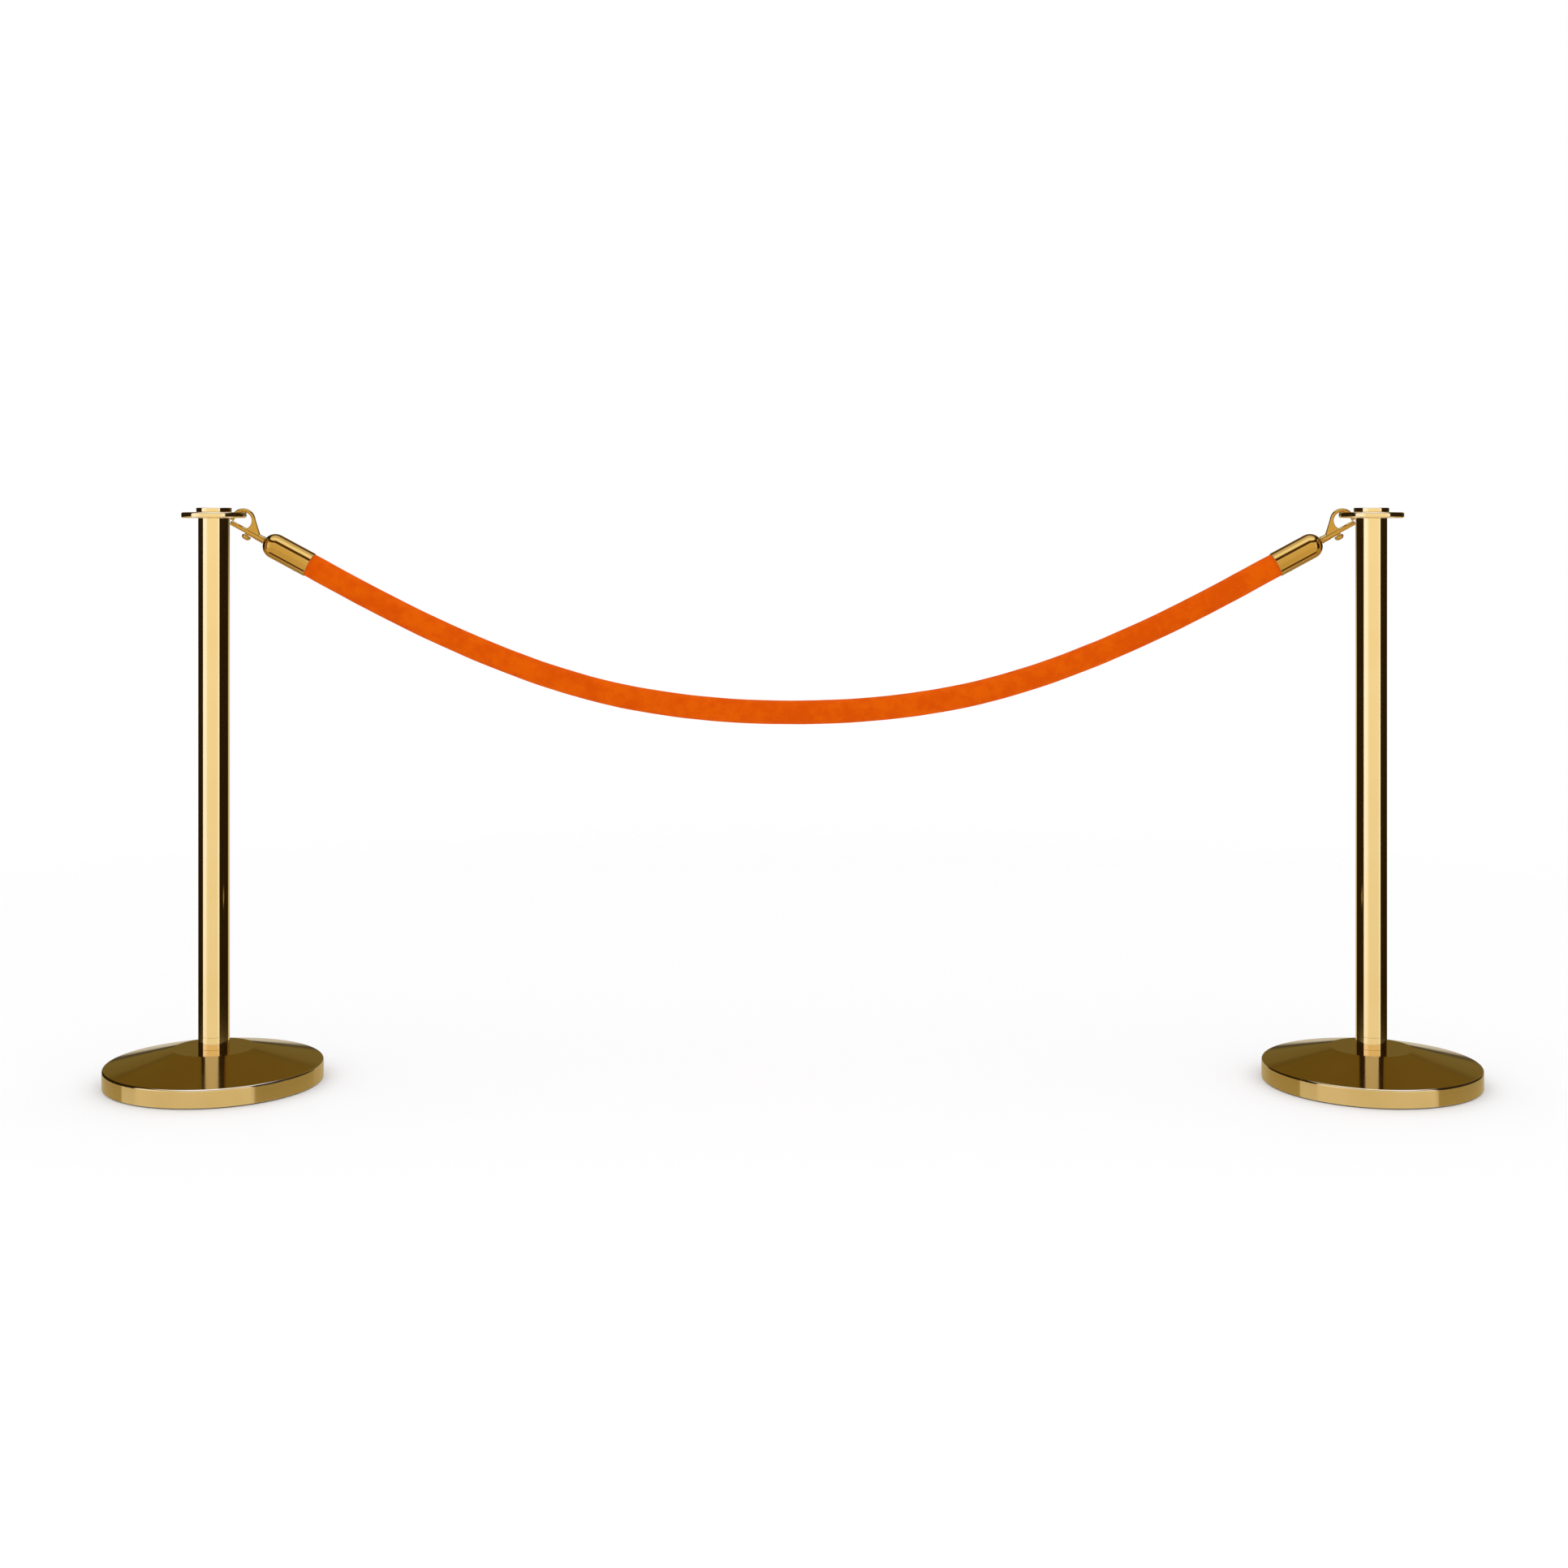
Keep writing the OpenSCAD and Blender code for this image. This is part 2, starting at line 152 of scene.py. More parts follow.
def rounded(corners, steps=6, margin=0.15):
    """Points (x, y, edge) of an outline whose corners (x, y, radius) are rounded by arcs.
    edge is 1 on an arc and 0 elsewhere. A point beside each arc keeps the flats flat: it is
    margin times the radius away."""
    points = []
    for i, (x, y, radius) in enumerate(corners):
        here = Vector((x, y))
        if radius == 0:
            points.append((x, y, 0.0))
            continue
        back = (Vector(corners[i - 1][:2]) - here).normalized()
        ahead = (Vector(corners[(i + 1) % len(corners)][:2]) - here).normalized()
        half = back.angle(ahead) / 2
        tangent = radius / math.tan(half)
        centre = here + (back + ahead).normalized() * radius / math.sin(half)
        start = here + back * tangent - centre
        end = here + ahead * tangent - centre
        support = margin * radius
        points.append((*(here + back * (tangent + support)), 0.0))
        for step in range(steps + 1):
            on_arc = centre + start.slerp(end, step / steps).normalized() * radius
            points.append((*on_arc, 1.0))
        points.append((*(here + ahead * (tangent + support)), 0.0))
    return points


def turned(name, corners, place, segments=128, loop=True):
    """A solid of revolution about Z. corners are (radius, z, rounding) in order round the
    outline; loop closes it for a hollow piece, else it runs from the axis to the axis.
    The attribute edge says where the rounded edges are, for their lighter wear."""
    outline = rounded(corners)
    count = len(outline)
    angles = np.linspace(0, 2 * math.pi, segments, endpoint=False)
    rings = np.array([[(r * math.cos(a), r * math.sin(a), z) for a in angles]
        for r, z, _ in outline])
    faces = []
    for i in range(count if loop else count - 1):
        j = (i + 1) % count
        for k in range(segments):
            m = (k + 1) % segments
            faces.append((i * segments + k, i * segments + m, j * segments + m, j * segments + k))
    mesh = bpy.data.meshes.new(name)
    mesh.from_pydata(rings.reshape(-1, 3).tolist(), [], faces)
    edge = mesh.attributes.new("edge", "FLOAT", "POINT")
    edge.data.foreach_set("value", np.repeat([p[2] for p in outline], segments))
    if not loop:
        bm = bmesh.new()
        bm.from_mesh(mesh)
        bmesh.ops.remove_doubles(bm, verts=bm.verts, dist=1e-7)
        bm.to_mesh(mesh)
        bm.free()
    return finish_mesh(name, mesh, place)


def smooth_path(points, per_span):
    """A Catmull-Rom curve through the points, with its end directions carried straight on."""
    p = np.array(points, float)
    p = np.vstack([2 * p[0] - p[1], p, 2 * p[-1] - p[-2]])
    curve = []
    for i in range(1, len(p) - 2):
        for t in np.linspace(0, 1, per_span, endpoint=False):
            curve.append(0.5 * (2 * p[i] + (p[i + 1] - p[i - 1]) * t
                + (2 * p[i - 1] - 5 * p[i] + 4 * p[i + 1] - p[i + 2]) * t ** 2
                + (3 * p[i] - p[i - 1] - 3 * p[i + 1] + p[i + 2]) * t ** 3))
    return np.array(curve + [p[-2]])


def frames_along(path, first_normal):
    """Tangent, normal and binormal at each point, turning as little as possible on the way."""
    tangents = np.gradient(path, axis=0)
    tangents /= np.linalg.norm(tangents, axis=1)[:, None]
    normals = []
    normal = np.array(first_normal, float)
    for tangent in tangents:
        normal = normal - tangent * (normal @ tangent)
        normal /= np.linalg.norm(normal)
        normals.append(normal)
    normals = np.array(normals)
    return tangents, normals, np.cross(tangents, normals)


def sweep_mesh(name, path, radius, first_normal, sides):
    """A closed tube along a path. radius(along, angle) takes and gives arrays, in metres.
    A UV map holds the distance along the tube and round it, in metres."""
    _, normals, binormals = frames_along(path, first_normal)
    steps = np.linalg.norm(np.diff(path, axis=0), axis=1)
    along = np.concatenate([[0], np.cumsum(steps)])
    angles = np.linspace(0, 2 * math.pi, sides, endpoint=False)
    r = radius(along[:, None], angles[None, :]) * np.ones((len(path), sides))
    points = path[:, None] + r[:, :, None] * (np.cos(angles)[None, :, None] * normals[:, None]
        + np.sin(angles)[None, :, None] * binormals[:, None])
    faces = []
    uvs = []
    round_step = 2 * math.pi * float(r.mean()) / sides
    for i in range(len(path) - 1):
        for k in range(sides):
            m = (k + 1) % sides
            faces.append((i * sides + k, i * sides + m, (i + 1) * sides + m, (i + 1) * sides + k))
            low, high = k * round_step, (k + 1) * round_step
            uvs += [(along[i], low), (along[i], high), (along[i + 1], high), (along[i + 1], low)]
    last = (len(path) - 1) * sides
    faces.append(tuple(range(sides - 1, -1, -1)))
    faces.append(tuple(range(last, last + sides)))
    uvs += [(along[0], k * round_step) for k in range(sides - 1, -1, -1)]
    uvs += [(along[-1], k * round_step) for k in range(sides)]
    mesh = bpy.data.meshes.new(name)
    mesh.from_pydata(points.reshape(-1, 3).tolist(), [], faces)
    layer = mesh.uv_layers.new(name="along_round")
    layer.data.foreach_set("uv", np.array(uvs, np.float32).ravel())
    return mesh


def join(name, pieces):
    """One piece made of several, which are removed."""
    bm = bmesh.new()
    for piece in pieces:
        bm.from_mesh(piece.data)
        bpy.data.objects.remove(piece)
    mesh = bpy.data.meshes.new(name)
    bm.to_mesh(mesh)
    bm.free()
    piece = bpy.data.objects.new(name, mesh)
    scene.collection.objects.link(piece)
    return piece


def cast_copy(name, node, voxel, rounds):
    """A CAD node's shape as a casting: one skin whose inner corners run into each other.
    voxel is the size of its faces, and rounds says how often they are smoothed."""
    source = frame["nodes"][node]
    piece = bpy.data.objects.new(name, source.data.copy())
    scene.collection.objects.link(piece)
    remesh = piece.modifiers.new("remesh", "REMESH")
    remesh.mode = "VOXEL"
    remesh.voxel_size = voxel
    smooth = piece.modifiers.new("smooth", "SMOOTH")
    smooth.factor = 0.5
    smooth.iterations = rounds
    settled = bpy.data.meshes.new_from_object(
        piece.evaluated_get(bpy.context.evaluated_depsgraph_get()))
    bpy.data.objects.remove(piece)
    settled.materials.clear()
    return finish_mesh(name, settled, Matrix(), sharp=60)


# ---------- pieces ----------

def settle(piece, material, body, node):
    """A finished piece in its material, on its body, in the place of a CAD node."""
    piece.data.materials.append(material)
    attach(piece, body)
    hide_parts(node)


def dress(node, material):
    """A CAD node that keeps its shape, in a material."""
    for held in frame["nodes"][node].material_slots:
        held.material = material


# ---------- material nodes ----------

def put(tree, kind, inputs=None, **settings):
    """A shader node with its settings, and its inputs as values or as sockets to link."""
    made = tree.nodes.new("ShaderNode" + kind)
    for key, value in settings.items():
        setattr(made, key, value)
    for key, value in (inputs or {}).items():
        if isinstance(value, bpy.types.NodeSocket):
            tree.links.new(value, made.inputs[key])
        else:
            made.inputs[key].default_value = value
    return made


def maths(tree, operation, a, b=0.0):
    """One step of arithmetic on numbers or sockets."""
    return put(tree, "Math", {0: a, 1: b}, operation=operation).outputs[0]


def remap(tree, value, from_low, from_high, to_low, to_high, smooth=False):
    """A range of values stretched to another one, and cut off beyond it."""
    return put(tree, "MapRange", {"Value": value, "From Min": from_low, "From Max": from_high,
        "To Min": to_low, "To Max": to_high},
        interpolation_type="SMOOTHSTEP" if smooth else "LINEAR").outputs[0]


def mix(tree, factor, a, b):
    """Colour a where factor is 0, and colour b where it is 1."""
    return put(tree, "Mix", {0: factor, 6: a, 7: b}, data_type="RGBA").outputs[2]


def pattern(tree, vector, scale, detail=2.0, roughness=0.5):
    """Soft noise from 0 to 1, mostly between 0.3 and 0.7."""
    return put(tree, "TexNoise", {"Vector": vector, "Scale": scale, "Detail": detail,
        "Roughness": roughness}).outputs["Fac"]


def start(name):
    """A new material: its tree and its shader."""
    made = bpy.data.materials.new(name)
    made.use_nodes = True
    return made, made.node_tree, made.node_tree.nodes["Principled BSDF"]


def local_vector(tree, place):
    """Object coordinates in the frame of a post or of a rope end."""
    back = place.inverted()
    coordinates = put(tree, "TexCoord").outputs["Object"]
    return put(tree, "Mapping", {"Vector": coordinates, "Location": back.to_translation(),
        "Rotation": back.to_euler()}).outputs[0]


def round_vector(tree, vector, radial, angular, axial):
    """Coordinates about Z: distance from the axis, angle and height, each scaled."""
    parts = put(tree, "SeparateXYZ", {0: vector}).outputs
    flat = put(tree, "CombineXYZ", {0: parts[0], 1: parts[1]}).outputs[0]
    distance = put(tree, "VectorMath", {0: flat}, operation="LENGTH").outputs["Value"]
    angle = maths(tree, "ARCTAN2", parts[1], parts[0])
    return put(tree, "CombineXYZ", {0: maths(tree, "MULTIPLY", distance, radial),
        1: maths(tree, "MULTIPLY", angle, angular),
        2: maths(tree, "MULTIPLY", parts[2], axial)}).outputs[0]


def rgba(r, g, b):
    """A solid colour in linear light."""
    return (r, g, b, 1.0)


# ---------- materials ----------

def polished(name, place, bright, deep, grain, rough):
    """Lacquered polished metal. grain says how far its fine polishing marks stretch along the
    radius, the angle and the axis; rough is its smoothest and its dullest roughness."""
    made, tree, shader = start(name)
    vector = local_vector(tree, place)
    marks = pattern(tree, round_vector(tree, vector, *grain), 1.0, detail=3)
    cloud = pattern(tree, vector, 9.0, detail=3)
    specks = pattern(tree, vector, 420.0, detail=1)
    edge = put(tree, "Attribute", attribute_name="edge").outputs["Fac"]
    worn = maths(tree, "MULTIPLY", edge, remap(tree, cloud, 0.45, 0.65, 0.1, 0.6))
    tone = mix(tree, remap(tree, cloud, 0.3, 0.7, 0, 1), deep, bright)
    tone = mix(tree, remap(tree, marks, 0.3, 0.7, 0, 0.12), tone, deep)
    worn_tone = rgba(*(min(1, 0.35 + 0.68 * c) for c in bright[:3]))
    tree.links.new(mix(tree, worn, tone, worn_tone), shader.inputs["Base Color"])
    haze = maths(tree, "MULTIPLY", maths(tree, "ADD", cloud, marks), 0.5)
    roughness = remap(tree, haze, 0.35, 0.65, *rough)
    roughness = maths(tree, "ADD", roughness, maths(tree, "MULTIPLY", worn, 0.1))
    tree.links.new(roughness, shader.inputs["Roughness"])
    depth = 0.004 * MM
    fine = put(tree, "Bump", {"Strength": 0.12, "Distance": depth, "Height": marks})
    pits = put(tree, "Bump", {"Strength": 0.05, "Distance": depth, "Height": specks,
        "Normal": fine.outputs[0]})
    tree.links.new(pits.outputs[0], shader.inputs["Normal"])
    shader.inputs["Metallic"].default_value = 1.0
    return made


def cast_iron(name):
    """Dark paint over a sand casting."""
    made, tree, shader = start(name)
    vector = put(tree, "TexCoord").outputs["Object"]
    sand = pattern(tree, vector, 260.0, detail=6, roughness=0.65)
    cloud = pattern(tree, vector, 14.0, detail=4)
    rust = remap(tree, pattern(tree, vector, 38.0, detail=8, roughness=0.7), 0.6, 0.72, 0, 0.7)
    tone = mix(tree, cloud, rgba(0.018, 0.018, 0.02), rgba(0.05, 0.05, 0.052))
    tree.links.new(mix(tree, rust, tone, rgba(0.14, 0.045, 0.015)), shader.inputs["Base Color"])
    tree.links.new(remap(tree, sand, 0.3, 0.7, 0.45, 0.8), shader.inputs["Roughness"])
    bump = put(tree, "Bump", {"Strength": 0.7, "Distance": 0.35 * MM, "Height": sand})
    tree.links.new(bump.outputs[0], shader.inputs["Normal"])
    return made


def black_rubber(name):
    """Moulded rubber with a fine leathery skin and dust in its pores."""
    made, tree, shader = start(name)
    vector = put(tree, "TexCoord").outputs["Object"]
    cells = put(tree, "TexVoronoi", {"Vector": vector, "Scale": 700.0}).outputs["Distance"]
    cloud = pattern(tree, vector, 30.0, detail=4)
    dust = remap(tree, cloud, 0.45, 0.75, 0, 0.35)
    tree.links.new(mix(tree, dust, rgba(0.012, 0.012, 0.012), rgba(0.06, 0.056, 0.05)),
        shader.inputs["Base Color"])
    tree.links.new(remap(tree, cells, 0, 0.6, 0.6, 0.85), shader.inputs["Roughness"])
    bump = put(tree, "Bump", {"Strength": 0.5, "Distance": 0.2 * MM, "Height": cells})
    tree.links.new(bump.outputs[0], shader.inputs["Normal"])
    return made


def plated_steel(name, tint, rough):
    """Bright plated steel with fine scratches and a clouded plating. rough is its smoothest and
    its dullest roughness."""
    made, tree, shader = start(name)
    vector = put(tree, "TexCoord").outputs["Object"]
    cloud = pattern(tree, vector, 120.0, detail=4)
    stretched = put(tree, "VectorMath", {0: vector, 1: (300, 300, 4000)},
        operation="MULTIPLY").outputs[0]
    scratch = pattern(tree, stretched, 1.0, detail=3)
    tree.links.new(mix(tree, cloud, rgba(*(0.8 * c for c in tint)), rgba(*tint)),
        shader.inputs["Base Color"])
    tree.links.new(remap(tree, scratch, 0.3, 0.7, *rough), shader.inputs["Roughness"])
    bump = put(tree, "Bump", {"Strength": 0.3, "Distance": 0.02 * MM, "Height": scratch})
    tree.links.new(bump.outputs[0], shader.inputs["Normal"])
    shader.inputs["Metallic"].default_value = 1.0
    return made


def twisted_cotton(name):
    """Undyed cotton yarn: fine fibres that run along each strand."""
    made, tree, shader = start(name)
    uv = put(tree, "UVMap", uv_map="along_round").outputs[0]
    fibres = put(tree, "VectorMath", {0: uv, 1: (300, 2600, 1)}, operation="MULTIPLY").outputs[0]
    yarn = pattern(tree, fibres, 1.0, detail=4)
    tree.links.new(mix(tree, yarn, rgba(0.5, 0.44, 0.33), rgba(0.86, 0.81, 0.7)),
        shader.inputs["Base Color"])
    tree.links.new(remap(tree, yarn, 0.3, 0.7, 0.75, 0.95), shader.inputs["Roughness"])
    bump = put(tree, "Bump", {"Strength": 0.8, "Distance": 0.3 * MM, "Height": yarn})
    tree.links.new(bump.outputs[0], shader.inputs["Normal"])
    shader.inputs["Sheen Weight"].default_value = 0.3
    return made


def orange_velvet(name):
    """Cotton velvet: a short dense pile with brushed patches and a soft sheen."""
    made, tree, shader = start(name)
    uv = put(tree, "UVMap", uv_map="along_round").outputs[0]
    vector = put(tree, "TexCoord").outputs["Object"]
    pile_vector = put(tree, "VectorMath", {0: uv, 1: (1100, 1700, 1)},
        operation="MULTIPLY").outputs[0]
    pile = pattern(tree, pile_vector, 1.0, detail=3, roughness=0.6)
    brushed = pattern(tree, vector, 22.0, detail=5, roughness=0.55)
    patches = pattern(tree, vector, 75.0, detail=3)
    nap = maths(tree, "ADD", maths(tree, "MULTIPLY", brushed, 0.6),
        maths(tree, "MULTIPLY", patches, 0.4))
    tone = mix(tree, remap(tree, nap, 0.38, 0.62, 0, 1, smooth=True),
        rgba(0.74, 0.092, 0.0005), rgba(0.84, 0.128, 0.001))
    # painted shade: the velvet turns a darker orange where the pile's bump is low, as shade
    # between its tufts
    painted_pile_shade = remap(tree, pile, 0.3, 0.7, 0.45, 0)
    tree.links.new(mix(tree, painted_pile_shade, tone, rgba(0.5, 0.045, 0.0005)), shader.inputs["Base Color"])
    tree.links.new(remap(tree, pile, 0.3, 0.7, 0.8, 0.95), shader.inputs["Roughness"])
    bump = put(tree, "Bump", {"Strength": 0.55, "Distance": 0.35 * MM, "Height": pile})
    tree.links.new(bump.outputs[0], shader.inputs["Normal"])
    shader.inputs["Specular IOR Level"].default_value = 0.03
    shader.inputs["Sheen Weight"].default_value = 0.12
    shader.inputs["Sheen Roughness"].default_value = 0.35
    shader.inputs["Sheen Tint"].default_value = rgba(1.0, 0.16, 0.0)
    return made


# Each metal's brighter and deeper tone; the spun covers are a darker brass than the tubes
BRASS = rgba(0.94, 0.70, 0.33)
BRASS_DEEP = rgba(0.91, 0.66, 0.29)
OLD_BRASS = rgba(0.73, 0.52, 0.21)
OLD_BRASS_DEEP = rgba(0.67, 0.465, 0.175)
GOLD = rgba(0.64, 0.35, 0.066)
GOLD_DEEP = rgba(0.56, 0.295, 0.048)
FLAG = rgba(0.02, 0.012, 0.003)  # the studio's dark cloth
# Stretch of the polishing marks along the radius, the angle and the axis
DRAWN = (0.0, 45.0, 3.0)
SPUN = (2600.0, 0.6, 2600.0)
CAST = (300.0, 8.0, 300.0)

velvet = orange_velvet("orange_velvet")
cotton = twisted_cotton("twisted_cotton")
iron = cast_iron("cast_iron")
rubber = black_rubber("black_rubber")
zinc = plated_steel("zinc_steel", (0.72, 0.73, 0.75), (0.22, 0.4))
spring_steel = plated_steel("spring_steel", (0.6, 0.6, 0.62), (0.15, 0.3))


# ---------- rope ----------

def rope_path(tuck):
    """The route as a smooth curve, carried on straight by tuck at both ends."""
    path = smooth_path([(x, 0, z) for x, z in ROUTE], SPAN_STEPS)
    left, right = (np.array(end_place(side) @ Vector((0, 0, tuck))) for side in SIDES)
    return np.vstack([left, path, right])


def make_velvet_rope():
    """The velvet sleeve over its stuffing: soft lumps, gathers at the caps and a sewn seam."""
    path = rope_path(ROPE_TUCK)
    length = np.linalg.norm(np.diff(path, axis=0), axis=1).sum()
    slack, lump_height, grain_height = 0.35 * MM, 0.3 * MM, 0.1 * MM
    gather_reach, gather_depth, fold_depth, folds = 7 * MM, 0.35 * MM, 0.2 * MM, 15
    seam_angle, seam_width, seam_depth, stitch = math.radians(215), 1.5 * MM, 0.7 * MM, 4 * MM

    def waves(along, angle, lengthwise, around):
        return np.array([[noise.noise((s * lengthwise, around * math.cos(a), around * math.sin(a)))
            for a in angle[0]] for s in along[:, 0]])

    def radius(along, angle):
        lumps = waves(along, angle, 26, 1.3)
        grain = waves(along, angle, 170, 9)
        r = ROPE_D / 2 - slack + lump_height * lumps + grain_height * grain
        from_mouth = np.minimum(along, length - along) - ROPE_TUCK
        gathers = np.exp(-np.maximum(from_mouth, 0) / gather_reach)
        r = r - gathers * (gather_depth + fold_depth * np.cos(folds * angle))
        round_gap = (angle - seam_angle + math.pi) % (2 * math.pi) - math.pi
        groove = np.exp(-(round_gap * ROPE_D / 2 / seam_width) ** 2)
        stitches = 0.75 + 0.25 * np.cos(along * 2 * math.pi / stitch)
        return r - seam_depth * groove * stitches

    mesh = sweep_mesh("velvet_rope", path, radius, (0, 0, 1), 96)
    rope = finish_mesh("velvet_rope", mesh, Matrix(), sharp=80)
    rope.visible_glossy = False
    settle(rope, velvet, ROOT, "rope_sleeve")
    return rope, path


def make_strands(name, path, strand_r, turn_r, pitch, count=3):
    """A laid rope: strands that wind round each other along a path, a turn for each pitch."""
    _, normals, binormals = frames_along(path, (0, 0, 1))
    steps = np.linalg.norm(np.diff(path, axis=0), axis=1)
    along = np.concatenate([[0], np.cumsum(steps)])
    strands = []
    for i in range(count):
        angle = 2 * math.pi * (along / pitch + i / count)
        line = path + turn_r * (np.cos(angle)[:, None] * normals
            + np.sin(angle)[:, None] * binormals)
        mesh = sweep_mesh(name, line, lambda s, a: strand_r + 0 * s * a, (0, 0, 1), 16)
        strands.append(finish_mesh(f"{name}_{i}", mesh, Matrix(), sharp=80))
    return join(name, strands)


def make_core():
    """The stuffing of the rope: three laid cotton strands inside the sleeve."""
    strand_r, turn_r, pitch = 8.0 * MM, 8.9 * MM, 150 * MM
    core = make_strands("cotton_core", rope_path(0)[1:-1:3], strand_r, turn_r, pitch)
    settle(core, cotton, ROOT, "rope_core")
    return core


velvet_rope, velvet_path = make_velvet_rope()
cotton_core = make_core()


# ---------- posts ----------

def make_post(side):
    """The cover, collar, tube and cap disc of one post, and the dress of its other nodes."""
    place = post_place(side)
    spun = polished(side + "_spun_brass", place, OLD_BRASS, OLD_BRASS_DEEP, SPUN, (0.07, 0.13))
    drawn = polished(side + "_drawn_brass", place, BRASS, BRASS_DEEP, DRAWN, (0.04, 0.08))
    cast_brass = polished(side + "_cast_brass", place, BRASS, BRASS_DEEP, CAST, (0.06, 0.1))

    def finish(piece, node, material):
        settle(piece, material, ROOT, side + "_" + node)

    low, high = local_box(side + "_base_cover", place)
    base_r, base_low, seat_z = high[0], low[2], high[2]
    seat_r, slope, wall, hole_r = 67 * MM, math.tan(math.radians(13.2)), 1.5 * MM, 13 * MM
    shoulder_z = seat_z - (base_r - seat_r) * slope
    inner_r = base_r - wall
    inner_z = shoulder_z - wall - 0.4 * MM
    rim_edge, hole_edge, seat_bend, shoulder_bend = 0.4 * MM, 0.3 * MM, 0.8 * MM, 3 * MM
    cover = turned(side + "_cover", [
        (base_r, base_low, rim_edge), (base_r, shoulder_z, shoulder_bend),
        (seat_r, seat_z, seat_bend), (hole_r, seat_z, hole_edge),
        (hole_r, seat_z - wall, hole_edge), (seat_r, seat_z - wall, seat_bend),
        (inner_r, inner_z, shoulder_bend / 2), (inner_r, base_low, rim_edge)], place, segments=256)
    finish(cover, "base_cover", spun)

    low, high = local_box(side + "_foot_plug", place)
    tube_r = high[0]
    tube_low, tube_high = local_box(side + "_post_tube", place)
    bore_r, plug_r, joint_edge = 6.05 * MM, 23.85 * MM, 0.45 * MM
    plug = turned(side + "_foot_collar", [
        (bore_r, low[2], 0), (tube_r, low[2], 0.35 * MM), (tube_r, tube_low[2], joint_edge),
        (plug_r, tube_low[2], 0), (plug_r, high[2], 0.5 * MM), (bore_r, high[2], 0)], place)
    finish(plug, "foot_plug", drawn)

    groove_z, groove, groove_edge = low[2] + 20.4 * MM, 0.35 * MM, 0.15 * MM
    tube = turned(side + "_tube", [
        (tube_r, tube_low[2], joint_edge), (tube_r, groove_z - groove, groove_edge),
        (tube_r - groove / 2, groove_z, groove_edge), (tube_r, groove_z + groove, groove_edge),
        (tube_r, tube_high[2], 0.3 * MM), (tube_r - wall, tube_high[2], 0),
        (tube_r - wall, tube_low[2], 0)], place, segments=192)
    finish(tube, "post_tube", drawn)

    low, high = local_box(side + "_top_cap", place)
    cap_low = local_box(side + "_rope_ring", place)[1][2]
    stud_r, spigot_r, stud_top, disc_edge = 5.03 * MM, 11.97 * MM, high[2] - 3.5 * MM, 0.9 * MM
    cap = turned(side + "_cap_disc", [
        (0, high[2], 0), (high[0], high[2], disc_edge), (high[0], cap_low, disc_edge),
        (spigot_r, cap_low, 0), (spigot_r, low[2], 0.4 * MM), (stud_r, low[2], 0),
        (stud_r, stud_top, 0), (0, stud_top, 0)], place, segments=160, loop=False)
    finish(cap, "top_cap", drawn)

    dress(side + "_rope_ring", cast_brass)
    dress(side + "_base_weight", iron)
    dress(side + "_floor_pad", rubber)
    for node in ("tie_bolt", "tie_washer", "head_plug", "cap_stud"):
        dress(side + "_" + node, zinc)


# ---------- rope ends ----------

